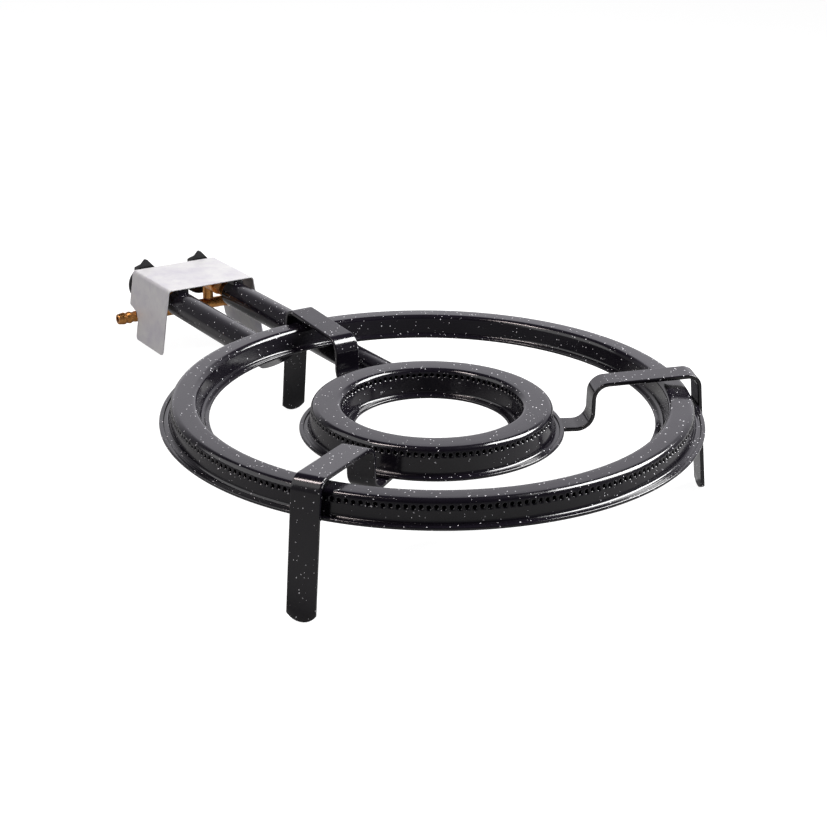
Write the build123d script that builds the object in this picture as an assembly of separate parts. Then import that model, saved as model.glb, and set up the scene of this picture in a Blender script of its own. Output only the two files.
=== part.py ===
from build123d import *
import os
from math import atan2, cos, radians, sin, tan

# Two-ring gas burner on three flat-bar legs, in millimetres.
# Frame: floor at z = 0, taps at -X, rings at +X, origin under the middle of the outline.

# ---------------------------------------------------------------- driving dimensions
OUTER_R = 200.0  # outer ring, over its flange
INNER_R = 98.5  # inner ring, over its flange
RING_SHEET = 0.8
OUTER_TOP = 86.0
OUTER_DEPTH = 17.0
INNER_TOP = 77.0
INNER_DEPTH = 21.0

BAR_WIDTH = 21.0  # flat bar of the legs
BAR_THICK = 3.0
LEG_TOP = 96.0
LEG_ANGLES = {"leg_rear": 180, "leg_left": -58, "leg_right": 62}
LEG_TOP_R = 200.2  # corner where the bar turns down outside the ring
LEG_FOOT_R = 211.0
REST_INNER_TOP = 90.2
REST_INNER_R = 118.6  # corner where the bar turns down inside the ring
TAB_TIP_R = 80.0

TUBE_R = 12.0
TUBE_WALL = 1.5
TUBE_PITCH = 56.4
TUBE_REAR = 371.0  # lengths along the tubes are measured back from the ring axis

COVER_FRONT = 358.0
COVER_REAR = 436.0
COVER_LEG_REAR = 416.0
COVER_TOP = 74.0
COVER_BOTTOM = 13.0
COVER_WIDTH = 87.0
COVER_FLARE = 9.0  # degrees
COVER_SHEET = 1.0

MANIFOLD_BACK = 424.2
MANIFOLD_Z = 32.5
MANIFOLD_R = 5.2
MANIFOLD_BORE_R = 3.5

KNOB_FRONT = 438.6
KNOB_R = 18.0
KNOB_TIP_R = 24.3
KNOB_DEPTH = 20.4

# ---------------------------------------------------------------- derived places
RING_X = (KNOB_FRONT + KNOB_DEPTH - OUTER_R) / 2
OUTER_BOTTOM = OUTER_TOP - OUTER_DEPTH
INNER_BOTTOM = INNER_TOP - INNER_DEPTH
TUBE_Z = OUTER_BOTTOM - TUBE_R
TUBE_BORE_R = TUBE_R - TUBE_WALL
OUTER_Y = -TUBE_PITCH / 2  # tube and tap of the outer ring
INNER_Y = TUBE_PITCH / 2
RUNNING = 0.05  # radial clearance of a turning fit


def back(distance):
    """X of a point that lies this far behind the ring axis."""
    return RING_X - distance


def outline(corners):
    """Closed face through (u, v, corner radius) points."""
    points = [(u, v) for u, v, _ in corners]
    return make_face(FilletPolyline(*points, radius=[r for _, _, r in corners], close=True))


def rod(radius, start, end, y=0.0, z=0.0):
    """Cylinder along X between two distances behind the ring axis."""
    middle = (start + end) / 2
    return Pos(back(middle), y, z) * Rot(0, 90, 0) * Cylinder(radius, abs(end - start))


def cone(r_start, r_end, start, end, y, z):
    """Cone along X, r_start at the start distance and r_end at the end distance."""
    middle = (start + end) / 2
    return Pos(back(middle), y, z) * Rot(0, -90, 0) * Cone(r_start, r_end, end - start)


def cross_rod(radius, y_low, y_high):
    """Cylinder along Y on the manifold's axis."""
    place = Pos(back(MANIFOLD_BACK), (y_low + y_high) / 2, MANIFOLD_Z)
    return place * Rot(90, 0, 0) * Cylinder(radius, y_high - y_low)


def upright(radius, x, y, z_low, z_high):
    return Pos(x, y, (z_low + z_high) / 2) * Cylinder(radius, z_high - z_low)


def block(x_low, x_high, y_low, y_high, z_low, z_high):
    size = (x_high - x_low, y_high - y_low, z_high - z_low)
    return Pos((x_low + x_high) / 2, (y_low + y_high) / 2, (z_low + z_high) / 2) * Box(*size)


def hexagon(across_flats, start, end, y, z):
    """Hexagonal bar along X, flats up and down."""
    plane = Plane((back(end), y, z), x_dir=(0, 1, 0), z_dir=(1, 0, 0))
    corner_r = across_flats / 2 / cos(radians(30))
    return extrude(plane * RegularPolygon(corner_r, 6), end - start)


# ---------------------------------------------------------------- rings
FLANGE = 7.0  # outer flange edge to the foot of the wall
CROWN_OUTER = 9.2  # outer flange edge to the shoulder
# For each ring, from its outer flange edge: inner shoulder, foot of the inner wall, bore.
OUTER_WIDTHS = (27.3, 30.0, 36.0)
INNER_WIDTHS = (31.3, 34.2, 41.0)
LIP = 3.2  # how far the folded edge grips the flange
SHOULDER = 4.5
COVE = 2.5


def ring_shell(radius, widths, top, bottom):
    """Upper pressing: two flanges, two walls and a flat crown."""
    t = RING_SHEET
    shoulder, wall, bore = widths
    flange = bottom + 2 * t
    edge_in = radius - bore + t
    edge_out = radius - t
    profile = outline(
        [
            (edge_out, flange, 0),
            (radius - FLANGE, flange, COVE),
            (radius - CROWN_OUTER, top, SHOULDER),
            (radius - shoulder, top, SHOULDER),
            (radius - wall, flange, COVE),
            (edge_in, flange, 0),
            (edge_in, flange - t, 0),
            (radius - wall + t, flange - t, COVE + t),
            (radius - shoulder + t, top - t, SHOULDER - t),
            (radius - CROWN_OUTER - t, top - t, SHOULDER - t),
            (radius - FLANGE - t, flange - t, COVE + t),
            (edge_out, flange - t, 0),
        ]
    )
    return Pos(RING_X, 0, 0) * revolve(Plane.XZ * profile, Axis.Z)


def ring_base(radius, widths, bottom):
    """Flat lower plate, its two edges folded over the shell's flanges."""
    t = RING_SHEET
    bore = radius - widths[-1]
    profile = outline(
        [
            (bore, bottom, t),
            (bore, bottom + 3 * t, t / 2),
            (bore + LIP, bottom + 3 * t, 0),
            (bore + LIP, bottom + 2 * t, 0),
            (bore + t, bottom + 2 * t, 0),
            (bore + t, bottom + t, 0),
            (radius - t, bottom + t, 0),
            (radius - t, bottom + 2 * t, 0),
            (radius - LIP, bottom + 2 * t, 0),
            (radius - LIP, bottom + 3 * t, 0),
            (radius, bottom + 3 * t, t / 2),
            (radius, bottom, t),
        ]
    )
    return Pos(RING_X, 0, 0) * revolve(Plane.XZ * profile, Axis.Z)


# ---------------------------------------------------------------- feed tubes
OUTER_MITRE = (168.0, 203.0)  # sloping front end: its top and its bottom, behind the ring axis
INNER_MITRE = (70.0, 98.0)
SCOOP_BACK = 80.0  # the inner tube's upper half is open up to here, inside the ring
END_PLATE = 1.5
COLLAR_BACK = 182.0
COLLAR_R = 6.0
COLLAR_BORE_R = 4.7


def mitre(ends, y, offset):
    """Everything in front of a tube's sloping end, moved back by an offset."""
    top, bottom = ends
    slope = atan2(2 * TUBE_R, bottom - top)
    normal = Vector(sin(slope), 0, -cos(slope))
    top_point = Vector(back(top), y, TUBE_Z + TUBE_R) - normal * offset
    plane = Plane(origin=tuple(top_point), x_dir=(0, 1, 0), z_dir=tuple(normal))
    return extrude(plane * Rectangle(300, 300), 100)


def tube_blank(ends, y):
    return rod(TUBE_R, ends[0] - 5, TUBE_REAR, y, TUBE_Z)


def tube_wall(ends, y):
    bore = rod(TUBE_BORE_R, ends[0] - 10, TUBE_REAR + 1, y, TUBE_Z)
    return tube_blank(ends, y) - bore - mitre(ends, y, END_PLATE)


def tube_end(ends, y):
    """Plate welded on a tube's sloping end."""
    return (tube_blank(ends, y) & mitre(ends, y, END_PLATE)) - mitre(ends, y, 0)


def collar_place(radius, z_low, z_high):
    return upright(radius, back(COLLAR_BACK), OUTER_Y, z_low, z_high)


def outer_feed_tube():
    gas_hole = collar_place(COLLAR_R, TUBE_Z, TUBE_Z + TUBE_R + 1)
    return tube_wall(OUTER_MITRE, OUTER_Y) - gas_hole


def outer_gas_collar():
    low = TUBE_Z + 8.2
    high = OUTER_BOTTOM + RING_SHEET + 1.5
    return collar_place(COLLAR_R, low, high) - collar_place(COLLAR_BORE_R, low - 1, high + 1)


def inner_tube_solid():
    return tube_blank(INNER_MITRE, INNER_Y) - mitre(INNER_MITRE, INNER_Y, 0)


def scoop(limit):
    """Space above the inner ring's floor that the tube leaves open."""
    floor = INNER_BOTTOM + RING_SHEET
    front = back(INNER_MITRE[0] - 10)
    return block(back(limit), front, 0, 2 * INNER_Y, floor, INNER_TOP)


def inner_feed_tube():
    return tube_wall(INNER_MITRE, INNER_Y) - scoop(SCOOP_BACK)


def inner_tube_end():
    return tube_end(INNER_MITRE, INNER_Y) - scoop(INNER_MITRE[1])


SADDLE_LENGTH = 12.0
SADDLE_WIDTH = 10.0


def tube_saddles():
    """Blocks welded between the tube tops and the underside of the cover."""
    saddles = []
    for y in (OUTER_Y, INNER_Y):
        low, high = y - SADDLE_WIDTH / 2, y + SADDLE_WIDTH / 2
        rear, front = back(TUBE_REAR), back(TUBE_REAR - SADDLE_LENGTH)
        body = block(rear, front, low, high, TUBE_Z, COVER_TOP - COVER_SHEET)
        saddles.append(body - rod(TUBE_R, TUBE_REAR - 20, TUBE_REAR + 5, y, TUBE_Z))
    return saddles


# ---------------------------------------------------------------- legs
LEG_BEND = 10.0  # outside radius of the bend above the foot
INNER_BEND = 13.0
TAB_BEND = 14.0
FOOT_SAG = 5.0
TAB_TOP = INNER_BOTTOM


def leg(angle):
    """Flat bar: foot, bend over the outer ring, bend down, tab under the inner ring.

    The foot is seated on the outer ring's folded edge.
    """
    t = BAR_THICK
    profile = outline(
        [
            (LEG_FOOT_R, 0, 0),
            (LEG_TOP_R, LEG_TOP, LEG_BEND),
            (REST_INNER_R, REST_INNER_TOP, INNER_BEND),
            (REST_INNER_R, TAB_TOP, TAB_BEND - t),
            (TAB_TIP_R, TAB_TOP, 0),
            (TAB_TIP_R, TAB_TOP - t, 0),
            (REST_INNER_R + t, TAB_TOP - t, TAB_BEND),
            (REST_INNER_R + t, REST_INNER_TOP - t, INNER_BEND - t),
            (LEG_TOP_R - t, LEG_TOP - t, LEG_BEND - t),
            (LEG_FOOT_R - t, 0, 0),
        ]
    )
    bar = extrude(Plane.XZ * profile, BAR_WIDTH / 2, both=True)
    foot_r = (BAR_WIDTH**2 / 4 + FOOT_SAG**2) / (2 * FOOT_SAG)
    round_foot = Pos(LEG_FOOT_R, 0, foot_r) * Rot(0, 90, 0) * Cylinder(foot_r, 60)
    above = block(0, LEG_FOOT_R + 60, -BAR_WIDTH, BAR_WIDTH, FOOT_SAG, LEG_TOP + 10)
    bent = Pos(RING_X, 0, 0) * Rot(0, 0, angle) * (bar & (round_foot + above))
    return bent - ring_base(OUTER_R, OUTER_WIDTHS, OUTER_BOTTOM)


# ---------------------------------------------------------------- valve cover
COVER_BEND = 3.5
COVER_CORNER = 4.0
COVER_STEP = (427.0, 39.5)  # corner of the step above the manifold: distance back, height
COVER_STEP_REAR_Z = 41.5
MANIFOLD_RELIEF_R = 6.3


def valve_cover():
    """Sheet bent to an upturned U, one side cut back for the manifold."""
    t = COVER_SHEET
    half = COVER_WIDTH / 2
    flare = tan(radians(COVER_FLARE))
    foot = half + (COVER_TOP - COVER_BOTTOM) * flare
    drop = t * flare
    section = outline(
        [
            (-foot, COVER_BOTTOM, 0),
            (-half, COVER_TOP, COVER_BEND),
            (half, COVER_TOP, COVER_BEND),
            (foot, COVER_BOTTOM, 0),
            (foot - t, COVER_BOTTOM, 0),
            (half - t + drop, COVER_TOP - t, COVER_BEND - t),
            (-half + t - drop, COVER_TOP - t, COVER_BEND - t),
            (-foot + t, COVER_BOTTOM, 0),
        ]
    )
    channel = extrude(Plane.YZ.offset(back(COVER_REAR)) * section, COVER_REAR - COVER_FRONT)
    above = COVER_TOP + 10
    stepped_side = outline(
        [
            (back(COVER_FRONT), above, 0),
            (back(COVER_FRONT), COVER_BOTTOM, COVER_CORNER),
            (back(COVER_LEG_REAR), COVER_BOTTOM, COVER_CORNER),
            (back(COVER_LEG_REAR), MANIFOLD_Z, 0),
            (back(COVER_STEP[0]), COVER_STEP[1], 1.5),
            (back(COVER_REAR), COVER_STEP_REAR_Z, 1.5),
            (back(COVER_REAR), above, 0),
        ]
    )
    plain_side = outline(
        [
            (back(COVER_FRONT), above, 0),
            (back(COVER_FRONT), COVER_BOTTOM, COVER_CORNER),
            (back(COVER_REAR), COVER_BOTTOM, COVER_CORNER),
            (back(COVER_REAR), above, 0),
        ]
    )
    kept = extrude(Plane.XZ * stepped_side, COVER_WIDTH) + extrude(Plane.XZ * plain_side, -COVER_WIDTH)
    return (channel & kept) - cross_rod(MANIFOLD_RELIEF_R, -COVER_WIDTH, COVER_WIDTH)


# ---------------------------------------------------------------- taps
BARREL_FRONT = 399.0
BARREL_REAR = 434.3
BARREL_R = 8.5
NOSE_R = 4.0
NOSE_FRONT = 390.0
JET_TIP = 379.0
JET_HEX_FRONT = 386.0
PLUG_FRONT = 418.5
PLUG_REAR = 428.5
PLUG_FRONT_R = 4.6
PLUG_REAR_R = 5.6
PORT_BACK = 423.6
GAS_R = 1.7
LOW_FLAME_R = 0.7
REAR_BORE_R = 6.5
SLOT = (2.9, 3.4, 6.2)  # plug slot: depth, width, height
TONGUE_FRONT = 427.7
TONGUE = (3.0, 5.6)  # stem tongue: width, height
COLLAR_FRONT = 432.5
COLLAR_REAR = 434.0
STEM_COLLAR_R = 5.0
STEM_R = 4.0
STEM_FLAT_START = 443.0
STEM_END = 453.0
STEM_FLAT = 2.8  # axis to the flat
CLIP = 0.5
SHANK_R = 5.0
SPIGOT_R = 3.0
SEAL = 0.9
MANIFOLD_TOP = MANIFOLD_Z + MANIFOLD_R


def tap_body(y):
    """Brass body: barrel, threaded nose and a shank down to the manifold."""
    x = back(MANIFOLD_BACK)
    body = rod(BARREL_R, BARREL_FRONT, BARREL_REAR, y, TUBE_Z)
    body += rod(NOSE_R, NOSE_FRONT, BARREL_FRONT, y, TUBE_Z)
    body += upright(SHANK_R, x, y, MANIFOLD_TOP + SEAL, TUBE_Z)
    body += upright(SPIGOT_R, x, y, MANIFOLD_Z + MANIFOLD_BORE_R - 1, TUBE_Z)
    body -= cone(PLUG_FRONT_R + RUNNING, PLUG_REAR_R + RUNNING, PLUG_FRONT, PLUG_REAR, y, TUBE_Z)
    body -= rod(PLUG_FRONT_R, PLUG_FRONT - 0.5, PLUG_FRONT, y, TUBE_Z)
    body -= rod(REAR_BORE_R, PLUG_REAR, BARREL_REAR + 1, y, TUBE_Z)
    body -= rod(GAS_R, NOSE_FRONT - 1, PLUG_FRONT, y, TUBE_Z)
    body -= upright(GAS_R, x, y, MANIFOLD_Z, TUBE_Z)
    return body


def jet(y):
    """Hexagonal injector screwed on the nose, with a conical tip."""
    body = hexagon(13, JET_HEX_FRONT, BARREL_FRONT, y, TUBE_Z)
    body += cone(2.6, 3.6, JET_TIP, JET_HEX_FRONT, y, TUBE_Z)
    body -= rod(NOSE_R, NOSE_FRONT, BARREL_FRONT + 1, y, TUBE_Z)
    body -= rod(0.6, JET_TIP - 1, NOSE_FRONT + 1, y, TUBE_Z)
    return body


TAP_SADDLE = (404.0, 426.0)
TAP_SADDLE_WIDTH = 11.0


def tap_saddles():
    """Dark blocks that hang the tap barrels from the cover."""
    saddles = []
    for y in (OUTER_Y, INNER_Y):
        low, high = y - TAP_SADDLE_WIDTH / 2, y + TAP_SADDLE_WIDTH / 2
        rear, front = back(TAP_SADDLE[1]), back(TAP_SADDLE[0])
        body = block(rear, front, low, high, TUBE_Z, COVER_TOP - COVER_SHEET)
        saddles.append(body - rod(BARREL_R, BARREL_FRONT, BARREL_REAR, y, TUBE_Z))
    return saddles


def tap_plug(y):
    """Tapered plug: a main port and a small low-flame port lead to its axial bore."""
    x = back(PORT_BACK)
    body = cone(PLUG_FRONT_R, PLUG_REAR_R, PLUG_FRONT, PLUG_REAR, y, TUBE_Z)
    body -= rod(GAS_R, PLUG_FRONT - 1, PORT_BACK + 0.4, y, TUBE_Z)
    body -= Pos(x, y + 3.6, TUBE_Z) * Rot(90, 0, 0) * Cylinder(GAS_R - 0.1, 8)
    body -= upright(LOW_FLAME_R, x, y, TUBE_Z, TUBE_Z + 8)
    depth, width, height = SLOT
    body -= block(
        back(PLUG_REAR + 1),
        back(PLUG_REAR - depth),
        y - width / 2,
        y + width / 2,
        TUBE_Z - height / 2,
        TUBE_Z + height / 2,
    )
    return body


def stem(y):
    """Push stem: tongue in the plug's slot, collar, round shaft and a flatted end."""
    width, height = TONGUE
    body = rod(STEM_COLLAR_R, COLLAR_FRONT, COLLAR_REAR, y, TUBE_Z)
    body += rod(STEM_R, COLLAR_REAR, STEM_END, y, TUBE_Z)
    body += block(
        back(COLLAR_FRONT),
        back(TONGUE_FRONT),
        y - width / 2,
        y + width / 2,
        TUBE_Z - height / 2,
        TUBE_Z + height / 2,
    )
    body -= block(
        back(STEM_END + 1),
        back(STEM_FLAT_START),
        y - STEM_R,
        y + STEM_R,
        TUBE_Z + STEM_FLAT,
        TUBE_Z + STEM_R + 1,
    )
    return body


def stem_spring(y):
    """Return spring between the plug and the stem's collar."""
    wire_r = 0.4
    length = COLLAR_FRONT - PLUG_REAR - 2 * wire_r - 0.1
    path = Helix(pitch=length / 3, height=length, radius=4.4)
    ring = Plane(path @ 0, z_dir=path % 0) * Circle(wire_r)
    coil = sweep(ring, path, is_frenet=True)
    return Pos(back(PLUG_REAR + wire_r + 0.05), y, TUBE_Z) * Rot(0, -90, 0) * coil


def bonnet(y):
    """Hexagonal nut that closes the barrel and guides the stem."""
    body = hexagon(17, BARREL_REAR, BARREL_REAR + 3.6, y, TUBE_Z)
    body += rod(REAR_BORE_R, BARREL_REAR - 2.5, BARREL_REAR, y, TUBE_Z)
    body -= rod(STEM_COLLAR_R + 0.3, BARREL_REAR - 4, BARREL_REAR, y, TUBE_Z)
    body -= rod(STEM_R + RUNNING, BARREL_REAR - 1, BARREL_REAR + 5, y, TUBE_Z)
    return body


SKIRT = 5.0
POINTER = 3.2  # thickness
POINTER_BASE = (9.5, 15.0)  # where the pointer leaves the skirt: across and up
KNOB_HOLLOW = (11.0, 2.6)  # radius and depth of the recess that clears the bonnet
GRIP_HALF = 4.0
GRIP_TOP = (21.5, 12.5)  # height of the finger bar's sloping top at the skirt and at its end
GRIP_LOW = 13.0


def knob_plane(y, distance):
    """Plane across the knob's axis; its first axis points along +Y and its second one up."""
    return Plane((back(distance), y, TUBE_Z), x_dir=(0, 1, 0), z_dir=(1, 0, 0))


def knob(y):
    """Skirt with a pointer on its rim and a finger bar; the pointer is up when shut."""
    end = KNOB_FRONT + KNOB_DEPTH
    base_half, base_up = POINTER_BASE
    tip = (0, KNOB_TIP_R + 1.2, 2.2)
    nose = outline([(-base_half, base_up, 0), tip, (base_half, base_up, 0)])
    pointer = extrude(knob_plane(y, KNOB_FRONT + POINTER) * nose, POINTER)
    skirt = extrude(knob_plane(y, KNOB_FRONT + SKIRT) * Circle(KNOB_R), SKIRT)
    skirt = fillet(skirt.edges().group_by(Axis.X)[0], 1.8)
    high, end_high = GRIP_TOP
    side = outline(
        [
            (back(KNOB_FRONT + 1), TUBE_Z + high, 0),
            (back(end), TUBE_Z + end_high, 2.5),
            (back(end), TUBE_Z - GRIP_LOW, 3.0),
            (back(KNOB_FRONT + 1), TUBE_Z - GRIP_LOW, 0),
        ]
    )
    plane = Plane((0, y, 0), x_dir=(1, 0, 0), z_dir=(0, -1, 0))
    grip = extrude(plane * side, GRIP_HALF, both=True)
    bore = rod(STEM_R, KNOB_FRONT - 1, STEM_END + 0.5, y, TUBE_Z)
    flat = block(
        back(STEM_END + 1),
        back(STEM_FLAT_START),
        y - STEM_R,
        y + STEM_R,
        TUBE_Z + STEM_FLAT + CLIP,
        TUBE_Z + STEM_R + 1,
    )
    hollow = rod(KNOB_HOLLOW[0], KNOB_FRONT - 1, KNOB_FRONT + KNOB_HOLLOW[1], y, TUBE_Z)
    return skirt + pointer + grip - (bore - flat) - hollow


def knob_clip(y):
    """Leaf spring that holds the knob on the stem's flat."""
    rear, front = back(STEM_END - 1), back(STEM_FLAT_START + 1)
    return block(rear, front, y - 2, y + 2, TUBE_Z + STEM_FLAT, TUBE_Z + STEM_FLAT + CLIP)


# ---------------------------------------------------------------- manifold
MANIFOLD_LEFT = -50.0
MANIFOLD_RIGHT = 45.5
BARB_CRESTS = (-55.3, -61.1)
BARB_TIP = -67.0
BARB_CREST_R = 5.7
BARB_ROOT_R = 4.8
BARB_LAND = 1.0


def manifold():
    bar = cross_rod(MANIFOLD_R, MANIFOLD_LEFT, MANIFOLD_RIGHT)
    bar -= cross_rod(MANIFOLD_BORE_R, MANIFOLD_LEFT - 1, MANIFOLD_RIGHT + 1)
    for y in (OUTER_Y, INNER_Y):
        bar -= upright(SPIGOT_R, back(MANIFOLD_BACK), y, MANIFOLD_Z, MANIFOLD_TOP + 1)
    return bar


def tap_seals():
    """Fibre washers between the tap shanks and the manifold."""
    seals = []
    for y in (OUTER_Y, INNER_Y):
        x = back(MANIFOLD_BACK)
        washer = upright(SHANK_R, x, y, MANIFOLD_TOP, MANIFOLD_TOP + SEAL)
        seals.append(washer - upright(SPIGOT_R, x, y, MANIFOLD_TOP - 1, MANIFOLD_TOP + 2))
    return seals


def manifold_plug():
    head = cross_rod(MANIFOLD_R + 0.3, MANIFOLD_RIGHT, MANIFOLD_RIGHT + 1.8)
    head = fillet(head.edges().group_by(Axis.Y)[-1], 1.0)
    return head + cross_rod(MANIFOLD_BORE_R, MANIFOLD_RIGHT - 6, MANIFOLD_RIGHT)


def hose_barb():
    """Turned tail: each barb rises from the tip side and drops sharply behind its land."""
    half_land = BARB_LAND / 2
    tip_r = BARB_ROOT_R
    near, far = BARB_CRESTS
    profile = outline(
        [
            (MANIFOLD_LEFT + 6, 2.5, 0),
            (MANIFOLD_LEFT + 6, MANIFOLD_BORE_R, 0),
            (MANIFOLD_LEFT, MANIFOLD_BORE_R, 0),
            (MANIFOLD_LEFT, BARB_ROOT_R, 0),
            (near + 2.4, BARB_ROOT_R, 0),
            (near + half_land, BARB_CREST_R, 0),
            (near - half_land, BARB_CREST_R, 0),
            (far + 2.4, BARB_ROOT_R, 0),
            (far + half_land, BARB_CREST_R, 0),
            (far - half_land, BARB_CREST_R, 0),
            (BARB_TIP, tip_r, 0.8),
            (BARB_TIP, 2.5, 0),
        ]
    )
    plane = Plane((0, 0, 0), x_dir=(0, 1, 0), z_dir=(1, 0, 0))
    turned = revolve(plane * profile, Axis.Y)
    return Pos(back(MANIFOLD_BACK), 0, MANIFOLD_Z) * turned


# ---------------------------------------------------------------- the whole burner
def build():
    """Every sub-part by name; a list means several separate solids in one file."""
    parts = {
        "outer_ring_shell": ring_shell(OUTER_R, OUTER_WIDTHS, OUTER_TOP, OUTER_BOTTOM),
        "outer_ring_base": ring_base(OUTER_R, OUTER_WIDTHS, OUTER_BOTTOM)
        - collar_place(COLLAR_R, OUTER_BOTTOM - 1, OUTER_BOTTOM + 2),
        "inner_ring_shell": ring_shell(INNER_R, INNER_WIDTHS, INNER_TOP, INNER_BOTTOM)
        - inner_tube_solid(),
        "inner_ring_base": ring_base(INNER_R, INNER_WIDTHS, INNER_BOTTOM) - inner_tube_solid(),
        "outer_feed_tube": outer_feed_tube(),
        "outer_tube_end": tube_end(OUTER_MITRE, OUTER_Y),
        "outer_gas_collar": outer_gas_collar(),
        "inner_feed_tube": inner_feed_tube(),
        "inner_tube_end": inner_tube_end(),
        "tube_saddles": tube_saddles(),
        "tap_saddles": tap_saddles(),
        "valve_cover": valve_cover(),
        "manifold": manifold(),
        "manifold_plug": manifold_plug(),
        "hose_barb": hose_barb(),
        "tap_seals": tap_seals(),
    }
    for name, angle in LEG_ANGLES.items():
        parts[name] = leg(angle)
    for ring, y in (("outer", OUTER_Y), ("inner", INNER_Y)):
        parts[f"{ring}_tap_body"] = tap_body(y)
        parts[f"{ring}_jet"] = jet(y)
        parts[f"{ring}_tap_plug"] = tap_plug(y)
        parts[f"{ring}_tap_stem"] = stem(y)
        parts[f"{ring}_stem_spring"] = stem_spring(y)
        parts[f"{ring}_bonnet"] = bonnet(y)
        parts[f"{ring}_knob"] = knob(y)
        parts[f"{ring}_knob_clip"] = knob_clip(y)
    return parts


def main():
    os.makedirs("parts", exist_ok=True)
    for name, shape in build().items():
        solids = shape if isinstance(shape, list) else [shape]
        whole = solids[0] if len(solids) == 1 else Compound(children=solids)
        export_step(whole, f"parts/{name}.step")


main()
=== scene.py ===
"""Two-ring gas burner stand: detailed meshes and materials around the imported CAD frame."""
from math import atan2, cos, pi, radians, sin, sqrt, tan

import bmesh
import bpy
from mathutils import Matrix, Vector


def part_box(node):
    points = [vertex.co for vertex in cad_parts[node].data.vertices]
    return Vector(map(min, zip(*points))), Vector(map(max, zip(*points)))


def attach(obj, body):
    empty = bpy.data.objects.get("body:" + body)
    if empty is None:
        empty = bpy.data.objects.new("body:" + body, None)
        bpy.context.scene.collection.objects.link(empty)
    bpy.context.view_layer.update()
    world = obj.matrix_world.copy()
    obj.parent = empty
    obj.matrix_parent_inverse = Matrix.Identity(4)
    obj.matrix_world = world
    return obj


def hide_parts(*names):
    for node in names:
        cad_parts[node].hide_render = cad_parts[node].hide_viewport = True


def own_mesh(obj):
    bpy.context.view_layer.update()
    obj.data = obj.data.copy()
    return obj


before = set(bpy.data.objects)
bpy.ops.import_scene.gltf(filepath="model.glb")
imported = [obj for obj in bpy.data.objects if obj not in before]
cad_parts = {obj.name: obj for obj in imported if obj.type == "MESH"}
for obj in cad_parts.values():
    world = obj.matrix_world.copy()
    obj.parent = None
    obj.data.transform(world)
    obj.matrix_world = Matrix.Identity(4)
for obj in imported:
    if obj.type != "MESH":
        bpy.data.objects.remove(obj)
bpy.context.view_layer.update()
BODY = "stand"
MM = 0.001

# Places that follow from the CAD frame, in millimetres.
_ring_low, _ring_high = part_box("outer_ring_base")
RING_X = (_ring_low.x + _ring_high.x) / 2 / MM
OUTER_BOTTOM = _ring_low.z / MM
OUTER_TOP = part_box("outer_ring_shell")[1].z / MM
INNER_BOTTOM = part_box("inner_ring_base")[0].z / MM
INNER_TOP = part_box("inner_ring_shell")[1].z / MM
OUTER_R = 200.0
INNER_R = 98.5
# From a ring's outer flange edge: inner shoulder, foot of the inner wall, bore.
OUTER_WIDTHS = (27.3, 30.0, 36.0)
INNER_WIDTHS = (31.3, 34.2, 41.0)
LEG_ANGLES = {"rear": 180, "left": -58, "right": 62}
SHEET = 0.8
TUBE_YS = (-28.2, 28.2)  # outer ring's tube, inner ring's tube


# ------------------------------------------------------------------ mesh helpers
def new_object(name, bm, material, smooth=True):
    """Turns a bmesh in millimetres into a piece that rides on the stand."""
    bmesh.ops.recalc_face_normals(bm, faces=bm.faces)
    bm.transform(Matrix.Scale(MM, 4))
    mesh = bpy.data.meshes.new(name)
    bm.to_mesh(mesh)
    bm.free()
    for polygon in mesh.polygons:
        polygon.use_smooth = smooth
    obj = bpy.data.objects.new(name, mesh)
    bpy.context.scene.collection.objects.link(obj)
    mesh.materials.append(material)
    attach(obj, BODY)
    return obj


def rounded_path(corners, step=9.0):
    """Open polyline through (u, v, radius) corners, with arcs at the inner ones."""
    points = [Vector(corners[0][:2])]
    for before, here, after in zip(corners, corners[1:], corners[2:]):
        p, q, s = Vector(before[:2]), Vector(here[:2]), Vector(after[:2])
        radius = here[2]
        a, b = (p - q).normalized(), (s - q).normalized()
        angle = a.angle(b)
        if radius <= 0:
            points.append(q)
            continue
        reach = radius / tan(angle / 2)
        centre = q + (a + b).normalized() * (radius / sin(angle / 2))
        start, end = q + a * reach - centre, q + b * reach - centre
        sweep = start.angle_signed(end)
        count = max(2, int(abs(sweep) / radians(step)) + 1)
        for k in range(count + 1):
            t = -sweep * k / count
            turned = Vector((start.x * cos(t) - start.y * sin(t), start.x * sin(t) + start.y * cos(t)))
            points.append(centre + turned)
    points.append(Vector(corners[-1][:2]))
    return points


def path_normals(points):
    """Unit normals on the left of each point of an open polyline."""
    normals = []
    for i in range(len(points)):
        before = points[max(i - 1, 0)]
        after = points[min(i + 1, len(points) - 1)]
        run = (after - before).normalized()
        normals.append(Vector((-run.y, run.x)))
    return normals


def lengths_along(points):
    total, result = 0.0, [0.0]
    for a, b in zip(points, points[1:]):
        total += (b - a).length
        result.append(total)
    return result


def as_section(corners):
    """A rounded polyline with the length along it and the normal at each point."""
    points = rounded_path(corners)
    return points, lengths_along(points), path_normals(points)


def at_length(section, where):
    """Point and left normal of a polyline at a length along it."""
    points, lengths, normals = section
    where = min(max(where, 0.0), lengths[-1])
    for i in range(len(points) - 1):
        if where <= lengths[i + 1]:
            span = lengths[i + 1] - lengths[i]
            t = (where - lengths[i]) / span if span else 0.0
            point = points[i].lerp(points[i + 1], t)
            return point, normals[i].lerp(normals[i + 1], t).normalized()
    return points[-1], normals[-1]


def spin(point, angle):
    """A section point (radius, height) turned about the ring axis."""
    return Vector((RING_X + point.x * cos(angle), point.x * sin(angle), point.y))


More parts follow.
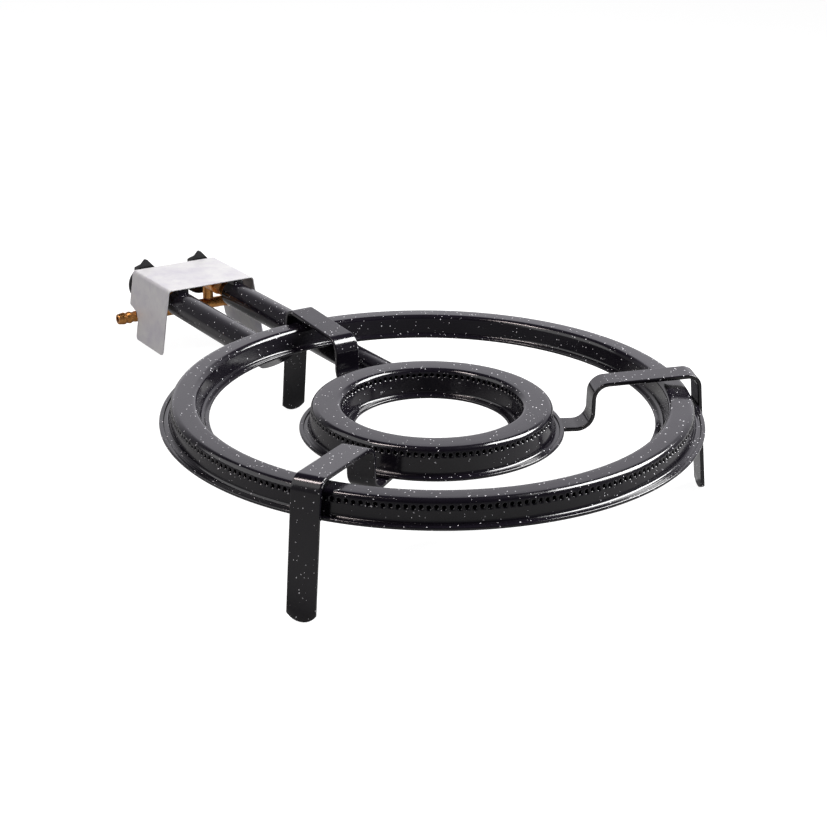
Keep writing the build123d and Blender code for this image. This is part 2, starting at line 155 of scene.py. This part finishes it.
# Radius and depth of the rings of points that shape a port's countersink and punched collar.
PORT_RINGS = ((2.1, 0.0), (1.85, 0.12), (1.5, 0.55), (1.15, 0.8), (1.15, 1.2))
PORT_STAGGER = 0.22
SIDE = 4  # columns of the ring's mesh per port
PORT_BAND = 4.7  # height of the band that holds a port row
PORT_DROP = 4.9  # from the crown down to the port row
SEAM_GAP = 1.5  # half of the strip that joins the two walls' meshes across the crown


def ring_shell(name, node, corners, bands, ports, material):
    """Pressed channel whose two walls have different port counts, joined across the crown."""
    section = as_section(corners)
    whole = section[1][-1]
    middle = whole / 2
    bm = bmesh.new()
    seams = []
    for band, count, (low, high) in zip(bands, ports, ((0.0, middle), (middle, whole))):
        skins = half_shell(bm, section, band, count, low, high)
        seam_row = -1 if low == 0.0 else 0
        seams.append([skin[seam_row] for skin in skins])
    for depth in (0, 1):
        zipper(bm, seams[0][depth], seams[1][depth])
    obj = new_object(name, bm, material)
    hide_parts(node)
    return obj


def half_shell(bm, section, band, ports, low, high):
    """Both skins of a stretch of the section, with one row of ports where band is given."""
    lengths = section[1]
    columns = ports * SIDE
    start = low + SEAM_GAP if low else low
    stop = high - SEAM_GAP if high < lengths[-1] else high
    rows = [(start, False), (stop, False)]
    rows += [(where, False) for where in lengths if start + 0.05 < where < stop - 0.05]
    if band is not None:
        half = PORT_BAND / 2
        rows = [row for row in rows if not band - half - 0.1 < row[0] < band + half + 0.1]
        rows += [(band - half, True), (band + half, False)]
    rows.sort()
    skins = []
    for depth in (0.0, SHEET):
        skin = []
        for where, _ in rows:
            point, normal = at_length(section, where)
            angles = [2 * pi * c / columns for c in range(columns)]
            skin.append([bm.verts.new(spin(point - normal * depth, angle)) for angle in angles])
        skins.append(skin)
        for i, (_, is_port_row) in enumerate(rows[:-1]):
            if not is_port_row:
                bridge(bm, skin[i], skin[i + 1])
    end = 0 if low == 0.0 else -1
    bridge(bm, skins[0][end], skins[1][end])
    for i, (_, is_port_row) in enumerate(rows):
        if is_port_row:
            add_ports(bm, skins, i, ports, section, band)
    return skins


def zipper(bm, ring_a, ring_b):
    """Triangles between two closed rings of different counts that start at angle 0."""
    count_a, count_b = len(ring_a), len(ring_b)
    i = j = 0
    while i < count_a or j < count_b:
        a, b = ring_a[i % count_a], ring_b[j % count_b]
        if j >= count_b or (i < count_a and (i + 1) / count_a <= (j + 1) / count_b):
            i += 1
            bm.faces.new((a, ring_a[i % count_a], b))
        else:
            j += 1
            bm.faces.new((a, ring_b[j % count_b], b))


def add_ports(bm, skins, row, ports, section, middle):
    """Fills one band of both skins with holed cells, one per port."""
    columns = ports * SIDE
    radius = at_length(section, middle)[0].x
    for port in range(ports):
        first = port * SIDE
        across = [(first + k) % columns for k in range(SIDE + 1)]
        stagger = PORT_STAGGER if port % 2 else -PORT_STAGGER
        centre_angle = 2 * pi * (first + SIDE / 2) / columns
        borders = []
        for skin in skins:
            lower = [skin[row][c] for c in across]
            upper = [skin[row + 1][c] for c in across]
            borders.append(lower + upper[::-1])
        count = len(borders[0])
        half_angle = pi * SIDE / columns
        directions = []
        for k in range(count):
            on_lower = k <= SIDE
            u = (k if on_lower else count - 1 - k) / SIDE * 2 - 1
            v = -1 if on_lower else 1
            directions.append(atan2(v, u * half_angle * radius / (PORT_BAND / 2)))
        loops = []
        for rho, depth in PORT_RINGS:
            loop = []
            for angle in port_angles(directions):
                where = middle + stagger + rho * sin(angle)
                point, normal = at_length(section, where)
                turn = centre_angle + rho * cos(angle) / radius
                loop.append(bm.verts.new(spin(point - normal * depth, turn)))
            loops.append(loop)
        bridge(bm, borders[0], loops[0])
        for a, b in zip(loops, loops[1:]):
            bridge(bm, a, b)
        bridge(bm, loops[-1], borders[1])


def port_angles(directions):
    """Even angles round a circle, in the order of the cell's border points."""
    count = len(directions)
    return [directions[0] + 2 * pi * k / count for k in range(count)]


def bridge(bm, outer, inner):
    count = len(outer)
    for k in range(count):
        n = (k + 1) % count
        bm.faces.new((outer[k], outer[n], inner[n], inner[k]))


def lathe(name, node, corners, columns, material):
    """Closed section turned about the ring axis."""
    closed = corners + [corners[0], corners[1]]
    points = rounded_path(closed)[1:-1]
    bm = bmesh.new()
    rings = [
        [bm.verts.new(spin(point, 2 * pi * c / columns)) for c in range(columns)] for point in points
    ]
    for i, ring in enumerate(rings):
        following = rings[(i + 1) % len(rings)]
        for c in range(columns):
            d = (c + 1) % columns
            bm.faces.new((ring[c], ring[d], following[d], following[c]))
    bmesh.ops.remove_doubles(bm, verts=bm.verts, dist=0.001)
    obj = new_object(name, bm, material)
    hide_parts(node)
    return obj


def keep_node(node, material):
    """A CAD solid whose shape is right keeps its mesh and gets a better material."""
    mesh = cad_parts[node].data
    mesh.materials.clear()
    mesh.materials.append(material)


def spring(ring, material):
    """The return spring as a piece of its own that rides with the knob."""
    node_name = f"{ring}_stem_spring"
    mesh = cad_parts[node_name].data.copy()
    mesh.materials.clear()
    mesh.materials.append(material)
    obj = bpy.data.objects.new(f"{ring}_return_spring", mesh)
    bpy.context.scene.collection.objects.link(obj)
    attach(obj, f"{ring}_knob")
    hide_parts(node_name)
    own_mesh(obj)


def eased(node, width, material, body=BODY):
    """A CAD solid rebuilt with its sharp edges rounded over by a small width."""
    bm = bmesh.new()
    bm.from_mesh(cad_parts[node].data)
    bm.transform(Matrix.Scale(1 / MM, 4))
    bmesh.ops.remove_doubles(bm, verts=bm.verts, dist=0.002)
    bmesh.ops.dissolve_limit(bm, angle_limit=radians(0.5), verts=bm.verts, edges=bm.edges)
    bmesh.ops.recalc_face_normals(bm, faces=bm.faces)
    bm.transform(Matrix.Scale(MM, 4))
    mesh = bpy.data.meshes.new(node + "_eased")
    bm.to_mesh(mesh)
    bm.free()
    for polygon in mesh.polygons:
        polygon.use_smooth = True
    mesh.materials.append(material)
    obj = bpy.data.objects.new(node + "_eased", mesh)
    bpy.context.scene.collection.objects.link(obj)
    bevel = obj.modifiers.new("eased edges", "BEVEL")
    bevel.width = width * MM
    bevel.segments = 2
    bevel.limit_method = "ANGLE"
    bevel.angle_limit = radians(35)
    bevel.harden_normals = True
    weighted = obj.modifiers.new("even shading", "WEIGHTED_NORMAL")
    weighted.keep_sharp = True
    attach(obj, body)
    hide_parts(node)
    return obj


# ------------------------------------------------------------------ materials
def shader(name, color, roughness, metallic=0.0, **sockets):
    """New material with a Principled shader and constants set on its own sockets."""
    material = bpy.data.materials.new(name)
    material.use_nodes = True
    nodes = material.node_tree.nodes
    principled = nodes["Principled BSDF"]
    principled.inputs["Base Color"].default_value = (*color, 1)
    principled.inputs["Roughness"].default_value = roughness
    principled.inputs["Metallic"].default_value = metallic
    for socket, value in sockets.items():
        principled.inputs[socket.replace("_", " ")].default_value = value
    return material, principled


def node(material, kind, **settings):
    made = material.node_tree.nodes.new(kind)
    for name, value in settings.items():
        if name in made.inputs:
            made.inputs[name].default_value = value
        else:
            setattr(made, name, value)
    return made


def object_noise(material, scale, detail=3.0, stretch=None):
    """Noise in object space; stretch squeezes it along the axes."""
    links = material.node_tree.links
    place = node(material, "ShaderNodeTexCoord")
    noise = node(material, "ShaderNodeTexNoise", Scale=scale, Detail=detail)
    source = place.outputs["Object"]
    if stretch:
        mapping = node(material, "ShaderNodeMapping", Scale=stretch)
        links.new(source, mapping.inputs["Vector"])
        source = mapping.outputs["Vector"]
    links.new(source, noise.inputs["Vector"])
    return noise.outputs["Fac"]


def remap(material, source, low, high, to_low, to_high):
    made = node(material, "ShaderNodeMapRange")
    for name, value in (("From Min", low), ("From Max", high), ("To Min", to_low), ("To Max", to_high)):
        made.inputs[name].default_value = value
    material.node_tree.links.new(source, made.inputs["Value"])
    return made.outputs["Result"]


def bump(material, principled, height, strength, distance):
    made = node(material, "ShaderNodeBump", Strength=strength, Distance=distance)
    material.node_tree.links.new(height, made.inputs["Height"])
    material.node_tree.links.new(made.outputs["Normal"], principled.inputs["Normal"])


SPECK_CELL = 0.0026  # metres between speck sites
SPECK_SIZE = 0.215  # largest radius, as a share of the cell
ENAMEL_BLACK = (0.006, 0.005, 0.008)


def enamel_material():
    """Black vitreous enamel with sparse white specks fired into it."""
    material, principled = shader("enamel", ENAMEL_BLACK, 0.14)
    links = material.node_tree.links
    place = node(material, "ShaderNodeTexCoord")
    cells = node(material, "ShaderNodeTexVoronoi", Scale=1 / SPECK_CELL)
    links.new(place.outputs["Object"], cells.inputs["Vector"])
    pick = node(material, "ShaderNodeSeparateColor")
    links.new(cells.outputs["Color"], pick.inputs["Color"])
    size = remap(material, pick.outputs["Red"], 0.2, 1.0, 0.0, SPECK_SIZE)
    inside = node(material, "ShaderNodeMath", operation="SUBTRACT")
    links.new(size, inside.inputs[0])
    links.new(cells.outputs["Distance"], inside.inputs[1])
    speck = remap(material, inside.outputs[0], 0.0, 0.02, 0.0, 1.0)
    white = remap(material, pick.outputs["Green"], 0.0, 1.0, 0.3, 0.95)
    amount = node(material, "ShaderNodeMath", operation="MULTIPLY")
    links.new(speck, amount.inputs[0])
    links.new(white, amount.inputs[1])
    mix = node(material, "ShaderNodeMix", data_type="RGBA")
    mix.inputs["A"].default_value = (*ENAMEL_BLACK, 1)
    mix.inputs["B"].default_value = (0.93, 0.92, 0.96, 1)
    links.new(amount.outputs[0], mix.inputs["Factor"])
    links.new(mix.outputs["Result"], principled.inputs["Base Color"])
    rough = remap(material, object_noise(material, 60), 0.3, 0.7, 0.10, 0.19)
    links.new(rough, principled.inputs["Roughness"])
    bump(material, principled, object_noise(material, 420, 2.0), 0.05, 0.0004)
    return material


def galvanised_material():
    """Zinc-coated sheet: faint spangle, soft sheen and a few rubbed patches."""
    material, principled = shader("galvanised", (0.54, 0.54, 0.54), 0.55, 0.3)
    links = material.node_tree.links
    spangle = node(material, "ShaderNodeTexVoronoi", Scale=170.0)
    place = node(material, "ShaderNodeTexCoord")
    links.new(place.outputs["Object"], spangle.inputs["Vector"])
    shade = node(material, "ShaderNodeSeparateColor")
    links.new(spangle.outputs["Color"], shade.inputs["Color"])
    tone = remap(material, shade.outputs["Red"], 0.0, 1.0, 0.0, 0.35)
    smudge = remap(material, object_noise(material, 45, 4.0), 0.42, 0.7, 0.0, 0.8)
    both = node(material, "ShaderNodeMath", operation="ADD")
    links.new(tone, both.inputs[0])
    links.new(smudge, both.inputs[1])
    mix = node(material, "ShaderNodeMix", data_type="RGBA")
    mix.inputs["A"].default_value = (0.57, 0.57, 0.57, 1)
    mix.inputs["B"].default_value = (0.47, 0.46, 0.50, 1)
    links.new(both.outputs[0], mix.inputs["Factor"])
    links.new(mix.outputs["Result"], principled.inputs["Base Color"])
    rough = remap(material, object_noise(material, 300, 3.0), 0.3, 0.7, 0.48, 0.60)
    links.new(rough, principled.inputs["Roughness"])
    bump(material, principled, object_noise(material, 900, 2.0), 0.08, 0.0002)
    return material


def brass_material():
    """Turned brass, warm and slightly dulled, with fine tool marks."""
    material, principled = shader("brass", (0.58, 0.29, 0.10), 0.3, 1.0)
    links = material.node_tree.links
    stain = remap(material, object_noise(material, 120, 4.0), 0.35, 0.7, 0.0, 1.0)
    mix = node(material, "ShaderNodeMix", data_type="RGBA")
    mix.inputs["A"].default_value = (0.78, 0.38, 0.12, 1)
    mix.inputs["B"].default_value = (0.42, 0.18, 0.055, 1)
    links.new(stain, mix.inputs["Factor"])
    links.new(mix.outputs["Result"], principled.inputs["Base Color"])
    rough = remap(material, object_noise(material, 500, 2.0), 0.3, 0.7, 0.22, 0.4)
    links.new(rough, principled.inputs["Roughness"])
    bump(material, principled, object_noise(material, 1400, 1.0), 0.1, 0.0001)
    return material


def knob_material():
    """Moulded black plastic with a fine satin texture."""
    material, principled = shader("knob plastic", (0.009, 0.009, 0.010), 0.33, Specular_IOR_Level=0.35)
    links = material.node_tree.links
    rough = remap(material, object_noise(material, 260, 3.0), 0.3, 0.7, 0.26, 0.42)
    links.new(rough, principled.inputs["Roughness"])
    bump(material, principled, object_noise(material, 2400, 2.0), 0.12, 0.0001)
    return material


def steel_material():
    """Bright drawn spring wire and leaf."""
    material, principled = shader("spring steel", (0.56, 0.56, 0.58), 0.25, 1.0)
    links = material.node_tree.links
    rough = remap(material, object_noise(material, 700, 2.0), 0.3, 0.7, 0.18, 0.34)
    links.new(rough, principled.inputs["Roughness"])
    return material


def fibre_material():
    """Red-brown pressed fibre."""
    material, principled = shader("fibre", (0.28, 0.09, 0.05), 0.8)
    links = material.node_tree.links
    tone = remap(material, object_noise(material, 900, 4.0), 0.3, 0.7, 0.0, 1.0)
    mix = node(material, "ShaderNodeMix", data_type="RGBA")
    mix.inputs["A"].default_value = (0.33, 0.11, 0.06, 1)
    mix.inputs["B"].default_value = (0.20, 0.06, 0.04, 1)
    links.new(tone, mix.inputs["Factor"])
    links.new(mix.outputs["Result"], principled.inputs["Base Color"])
    return material


ENAMEL = enamel_material()
ZINC = galvanised_material()
BRASS = brass_material()
KNOB = knob_material()
STEEL = steel_material()
FIBRE = fibre_material()


# ------------------------------------------------------------------ rings
def shell_section(radius, widths, top, bottom):
    """Outer skin of a ring's channel, from its inner flange edge to its outer one."""
    flange = bottom + 2 * SHEET
    shoulder, wall, bore = widths
    return [
        (radius - bore + SHEET, flange, 0),
        (radius - wall, flange, 2.5),
        (radius - shoulder, top, 4.5),
        (radius - 9.2, top, 4.5),
        (radius - 7.0, flange, 2.5),
        (radius - SHEET, flange, 0),
    ]


def base_section(radius, widths, bottom):
    """Lower plate with both edges rolled over the flanges."""
    t = SHEET
    bore = radius - widths[-1]
    lip = 3.2
    return [
        (bore, bottom, 1.1),
        (bore, bottom + 3 * t, 0.9),
        (bore + lip, bottom + 3 * t, 0.35),
        (bore + lip, bottom + 2 * t, 0),
        (bore + t, bottom + 2 * t, 0),
        (bore + t, bottom + t, 0),
        (radius - t, bottom + t, 0),
        (radius - t, bottom + 2 * t, 0),
        (radius - lip, bottom + 2 * t, 0),
        (radius - lip, bottom + 3 * t, 0.35),
        (radius, bottom + 3 * t, 0.9),
        (radius, bottom, 1.1),
    ]


OUTER_PORTS = (200, 250)  # mesh cells round the inner and outer wall
INNER_PORTS = (88, 116)


def build_rings():
    outer = shell_section(OUTER_R, OUTER_WIDTHS, OUTER_TOP, OUTER_BOTTOM)
    inner = shell_section(INNER_R, INNER_WIDTHS, INNER_TOP, INNER_BOTTOM)
    places = (None, port_place(outer, True))
    ring_shell("outer_ring_pressing", "outer_ring_shell", outer, places, OUTER_PORTS, ENAMEL)
    places = (port_place(inner, False), port_place(inner, True))
    ring_shell("inner_ring_pressing", "inner_ring_shell", inner, places, INNER_PORTS, ENAMEL)
    outer = base_section(OUTER_R, OUTER_WIDTHS, OUTER_BOTTOM)
    inner = base_section(INNER_R, INNER_WIDTHS, INNER_BOTTOM)
    lathe("outer_ring_rolled_base", "outer_ring_base", outer, 480, ENAMEL)
    lathe("inner_ring_rolled_base", "inner_ring_base", inner, 300, ENAMEL)


def port_place(corners, outer_wall):
    """Length along the section of the port row on one wall."""
    points = rounded_path(corners)
    lengths = lengths_along(points)
    row_z = max(p.y for p in points) - PORT_DROP
    order = list(zip(points, lengths))
    pairs = list(zip(order, order[1:]))
    for (a, la), (b, lb) in (pairs[::-1] if outer_wall else pairs):
        if min(a.y, b.y) <= row_z <= max(a.y, b.y) and abs(a.y - b.y) > 0.01:
            return la + (lb - la) * (row_z - a.y) / (b.y - a.y)
    raise ValueError("no wall at the port height")


# ------------------------------------------------------------------ legs
BAR_WIDTH = 21.0
BAR_THICK = 3.0
BAR_EDGE = 0.75
FOOT_SAG = 5.0
# Middle line of the bar as (distance from the ring axis, height, bend radius).
LEG_LINE = [
    (209.5, 0.0, 0),  # foot
    (198.7, 94.5, 8.5),
    (120.1, 88.7, 11.5),
    (120.1, 54.5, 12.5),
    (80.0, 54.5, 0),  # tab under the inner ring
]


def bar_section():
    """Rounded flat-bar section as (across, thickness) points, in order round it."""
    half_w, half_t = BAR_WIDTH / 2, BAR_THICK / 2
    side = [-9.0, -7.0, -5.0, -2.5, 0.0, 2.5, 5.0, 7.0, 9.0]
    section = [(a, half_t) for a in side]
    for sx, sy, start in ((1, 1, 90), (1, -1, 0)):
        for k in range(4):
            angle = radians(start - 30 * k)
            u = sx * (half_w - BAR_EDGE) + BAR_EDGE * cos(angle)
            v = sy * (half_t - BAR_EDGE) + BAR_EDGE * sin(angle)
            section.append((u, v))
    section += [(a, -half_t) for a in side[::-1]]
    section += [(-a, b) for a, b in section[len(side) : len(side) + 8][::-1]]
    return section


def foot_rise(across):
    """Height of the foot's curved end edge, zero in the middle of the bar."""
    radius = (BAR_WIDTH**2 / 4 + FOOT_SAG**2) / (2 * FOOT_SAG)
    return radius - sqrt(radius**2 - across**2)


def build_leg(name, degrees_):
    """One bent bar, from its foot over the outer ring to its tab under the inner one."""
    points = rounded_path(LEG_LINE, 5.0)
    first = (points[1] - points[0]).normalized()
    points[1:1] = [points[0] + first * d for d in (9, 30, 60)]
    normals = path_normals(points)
    turn = radians(degrees_)
    out = Vector((cos(turn), sin(turn), 0))
    across = Vector((-sin(turn), cos(turn), 0))
    centre = Vector((RING_X, 0, 0))
    section = bar_section()
    bm = bmesh.new()
    rings = []
    for i, (point, normal) in enumerate(zip(points, normals)):
        ring = []
        for a, b in section:
            at = point - normal * b
            if i == 0:
                at = at + first * (foot_rise(a) - at.y) / first.y
            ring.append(bm.verts.new(centre + out * at.x + across * a + Vector((0, 0, at.y))))
        rings.append(ring)
    for a, b in zip(rings, rings[1:]):
        bridge(bm, a, b)
    bm.faces.new(rings[-1])
    close_foot(bm, rings[0])
    obj = new_object(name + "_bar", bm, ENAMEL)
    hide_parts(name)
    weighted = obj.modifiers.new("even shading", "WEIGHTED_NORMAL")
    weighted.keep_sharp = True
    return obj


def close_foot(bm, ring):
    """Strip of faces across the curved end of the bar."""
    count = len(ring)
    first = 13  # the section's mirror line runs through its rounded sides
    order = [ring[(k + first) % count] for k in range(count)]
    half = count // 2
    for k in range(half - 1):
        quad = [order[k], order[k + 1], order[count - 2 - k], order[count - 1 - k]]
        bm.faces.new(quad)


# ------------------------------------------------------------------ weld beads
WELD_STEP = 0.5  # between the sections of a bead
WELD_SIDES = 10
RIM_WELD_R = 0.8  # bar to the outer ring's rolled edge
RIM_WELD_HEIGHTS = (0.2, 2.2)  # above the outer ring's underside
TAB_WELD_R = 0.9  # bar's inner end to the inner ring's underside
TAB_WELD_REACH = (83, 96)  # from the ring axis
TUBE_WELD_R = 1.1  # tube to the outer ring's underside
TUBE_WELD_REACH = (2, 32)  # from the ring's rear edge
TUBE_WELD_APART = 3.4  # from the tube's centre line


def weld(name, points, radius, seed):
    """Rippled bead along a line of points."""
    bm = bmesh.new()
    path = []
    for a, b in zip(points, points[1:]):
        count = max(2, int((b - a).length / WELD_STEP))
        path += [a.lerp(b, k / count) for k in range(count)]
    path.append(points[-1])
    rings = []
    for i, point in enumerate(path):
        run = (path[min(i + 1, len(path) - 1)] - path[max(i - 1, 0)]).normalized()
        u = run.orthogonal().normalized()
        v = run.cross(u)
        ends = min(i, len(path) - 1 - i, 3) / 3
        ripple = 1 + 0.10 * sin(i * 2.1 + seed) + 0.07 * sin(i * 0.9 + 2 * seed)
        size = radius * (0.35 + 0.65 * ends) * ripple
        ring = []
        for k in range(WELD_SIDES):
            angle = 2 * pi * k / WELD_SIDES
            ring.append(bm.verts.new(point + (u * cos(angle) + v * sin(angle)) * size))
        rings.append(ring)
    for a, b in zip(rings, rings[1:]):
        bridge(bm, a, b)
    bm.faces.new(rings[0])
    bm.faces.new(rings[-1])
    return new_object(name, bm, ENAMEL)


def polar(radius, degrees_, height, across=0.0):
    """Point beside a leg: distance from the ring axis, height and offset across the bar."""
    turn = radians(degrees_)
    x = RING_X + radius * cos(turn) - across * sin(turn)
    y = radius * sin(turn) + across * cos(turn)
    return Vector((x, y, height))


def build_welds():
    """Beads on both sides of each bar and each tube; seeds only vary the ripple."""
    for name, degrees_ in LEG_ANGLES.items():
        for side, label in ((-1, "low"), (1, "high")):
            edge = side * (BAR_WIDTH / 2 - 0.2)
            rim = [polar(200.2, degrees_, OUTER_BOTTOM + h, edge) for h in RIM_WELD_HEIGHTS]
            weld(f"weld_{name}_rim_{label}", rim, RIM_WELD_R, side + 2)
            tab = [polar(r, degrees_, INNER_BOTTOM, side * BAR_WIDTH / 2) for r in TAB_WELD_REACH]
            weld(f"weld_{name}_tab_{label}", tab, TAB_WELD_R, side + 5)
    for ring, y in zip(("outer", "inner"), TUBE_YS):
        rear = RING_X - sqrt(OUTER_R**2 - y**2)
        for side, label in ((-1, "low"), (1, "high")):
            across = y + side * TUBE_WELD_APART
            line = [Vector((rear + d, across, OUTER_BOTTOM - 0.6)) for d in TUBE_WELD_REACH]
            weld(f"weld_{ring}_tube_{label}", line, TUBE_WELD_R, side + 9)


build_rings()
for leg_name, leg_angle in LEG_ANGLES.items():
    build_leg(f"leg_{leg_name}", leg_angle)
build_welds()

# ------------------------------------------------------------------ tubes, cover and taps
for tube in ("outer_feed_tube", "inner_feed_tube"):
    eased(tube, 0.35, ENAMEL)
for part in ("outer_tube_end", "outer_gas_collar", "inner_tube_end"):
    keep_node(part, ENAMEL)
eased("valve_cover", 0.22, ZINC)
keep_node("tube_saddles", ENAMEL)
keep_node("tap_saddles", ENAMEL)
for part in ("manifold", "manifold_plug", "hose_barb"):
    keep_node(part, BRASS)
keep_node("tap_seals", FIBRE)
for ring in ("outer", "inner"):
    eased(f"{ring}_tap_body", 0.3, BRASS)
    eased(f"{ring}_jet", 0.3, BRASS)
    eased(f"{ring}_bonnet", 0.35, BRASS)
    keep_node(f"{ring}_tap_plug", BRASS)
    keep_node(f"{ring}_tap_stem", BRASS)
    spring(ring, STEEL)
    keep_node(f"{ring}_knob_clip", STEEL)
    eased(f"{ring}_knob", 0.35, KNOB, f"{ring}_knob")


# ------------------------------------------------------------------ camera and studio
VIEW_AZIMUTH = 55.0
CAMERA_BACK = 1033.4
CAMERA_ABOVE_RING = 399.4
ELEVATION = 21.13
PAN, TILT, ROLL = 0.70, 0.93, 0.89
LENS = 65.3


def turn_x(a):
    return Matrix(((1, 0, 0), (0, cos(a), -sin(a)), (0, sin(a), cos(a))))


def turn_y(a):
    return Matrix(((cos(a), 0, sin(a)), (0, 1, 0), (-sin(a), 0, cos(a))))


def turn_z(a):
    return Matrix(((cos(a), -sin(a), 0), (sin(a), cos(a), 0), (0, 0, 1)))


def view_vector(right, forward, up):
    """Direction given relative to the camera, level with the floor."""
    azimuth = radians(VIEW_AZIMUTH)
    x = right * cos(azimuth) - forward * sin(azimuth)
    y = right * sin(azimuth) + forward * cos(azimuth)
    return Vector((x, y, up))


def build_camera():
    e = radians(ELEVATION)
    level = Matrix(((1, 0, 0), (0, -sin(e), -cos(e)), (0, cos(e), -sin(e))))
    rows = turn_z(radians(ROLL)) @ turn_x(radians(TILT)) @ turn_y(radians(PAN)) @ level
    right, down, forward = (view_vector(*rows[i]) for i in range(3))
    data = bpy.data.cameras.new("camera")
    data.lens = LENS
    data.sensor_width = 36.0
    data.clip_start = 0.01
    camera = bpy.data.objects.new("camera", data)
    bpy.context.scene.collection.objects.link(camera)
    target = Vector((RING_X, 0, OUTER_TOP)) * MM
    place = target + view_vector(0, -CAMERA_BACK, CAMERA_ABOVE_RING) * MM
    axes = Matrix((right, -down, -forward)).transposed().to_4x4()
    camera.matrix_world = Matrix.Translation(place) @ axes
    bpy.context.scene.camera = camera


def soft_box(name, direction, distance, width, height, power, color=(1, 1, 1)):
    data = bpy.data.lights.new(name, "AREA")
    data.shape = "RECTANGLE"
    data.size = width
    data.size_y = height
    data.energy = power
    data.color = color
    light = bpy.data.objects.new(name, data)
    centre = Vector((RING_X * 0.6 * MM, 0, 0.05))
    light.location = centre + direction.normalized() * distance
    light.rotation_euler = (centre - light.location).to_track_quat("-Z", "Y").to_euler()
    bpy.context.scene.collection.objects.link(light)


def build_world():
    """Bright sweep low behind the object, dark room elsewhere; plain white in the view."""
    world = bpy.data.worlds.new("studio")
    bpy.context.scene.world = world
    world.use_nodes = True
    tree = world.node_tree
    links = tree.links
    background = tree.nodes["Background"]
    place = tree.nodes.new("ShaderNodeTexCoord")
    parts = tree.nodes.new("ShaderNodeSeparateXYZ")
    ramp = tree.nodes.new("ShaderNodeValToRGB")
    links.new(place.outputs["Generated"], parts.inputs["Vector"])
    links.new(parts.outputs["Z"], ramp.inputs["Fac"])
    ramp.color_ramp.elements[0].position = 0.44
    ramp.color_ramp.elements[0].color = (1.0, 0.98, 1.04, 1)
    ramp.color_ramp.elements[1].position = 0.62
    ramp.color_ramp.elements[1].color = (0.05, 0.05, 0.06, 1)
    ahead = tree.nodes.new("ShaderNodeVectorMath")
    ahead.operation = "DOT_PRODUCT"
    ahead.inputs[1].default_value = view_vector(0, 1, 0)
    links.new(place.outputs["Generated"], ahead.inputs[0])
    width = tree.nodes.new("ShaderNodeMapRange")
    for name, value in (("From Min", 0.55), ("From Max", 0.88), ("To Min", 0.22), ("To Max", 1.0)):
        width.inputs[name].default_value = value
    links.new(ahead.outputs["Value"], width.inputs["Value"])
    links.new(width.outputs["Result"], background.inputs["Strength"])
    links.new(ramp.outputs["Color"], background.inputs["Color"])
    seen = tree.nodes.new("ShaderNodeBackground")
    seen.inputs["Color"].default_value = (1, 1, 1, 1)
    path = tree.nodes.new("ShaderNodeLightPath")
    mix = tree.nodes.new("ShaderNodeMixShader")
    links.new(path.outputs["Is Camera Ray"], mix.inputs["Fac"])
    links.new(background.outputs["Background"], mix.inputs[1])
    links.new(seen.outputs["Background"], mix.inputs[2])
    links.new(mix.outputs["Shader"], tree.nodes["World Output"].inputs["Surface"])


def build_floor():
    bm = bmesh.new()
    bmesh.ops.create_grid(bm, x_segments=2, y_segments=2, size=6.0)
    mesh = bpy.data.meshes.new("floor")
    bm.to_mesh(mesh)
    bm.free()
    floor = bpy.data.objects.new("floor", mesh)
    bpy.context.scene.collection.objects.link(floor)
    material, principled = shader("floor", (0.20, 0.20, 0.20), 1.0, Specular_IOR_Level=0.0)
    principled.inputs["Emission Color"].default_value = (1, 1, 1, 1)
    path = node(material, "ShaderNodeLightPath")
    glow = remap(material, path.outputs["Is Camera Ray"], 0.0, 1.0, 0.14, 0.95)
    material.node_tree.links.new(glow, principled.inputs["Emission Strength"])
    mesh.materials.append(material)


bpy.context.scene.view_settings.view_transform = "Standard"
build_camera()
build_world()
build_floor()
soft_box("right box", view_vector(0.66, 0.22, 0.72), 1.6, 0.7, 1.0, 60)
soft_box("left fill", view_vector(-0.85, -0.15, 0.6), 2.0, 2.0, 1.6, 16)
soft_box("overhead strip", view_vector(-0.40, -0.1, 0.90), 1.5, 0.16, 0.5, 8, (1.0, 0.88, 0.86))
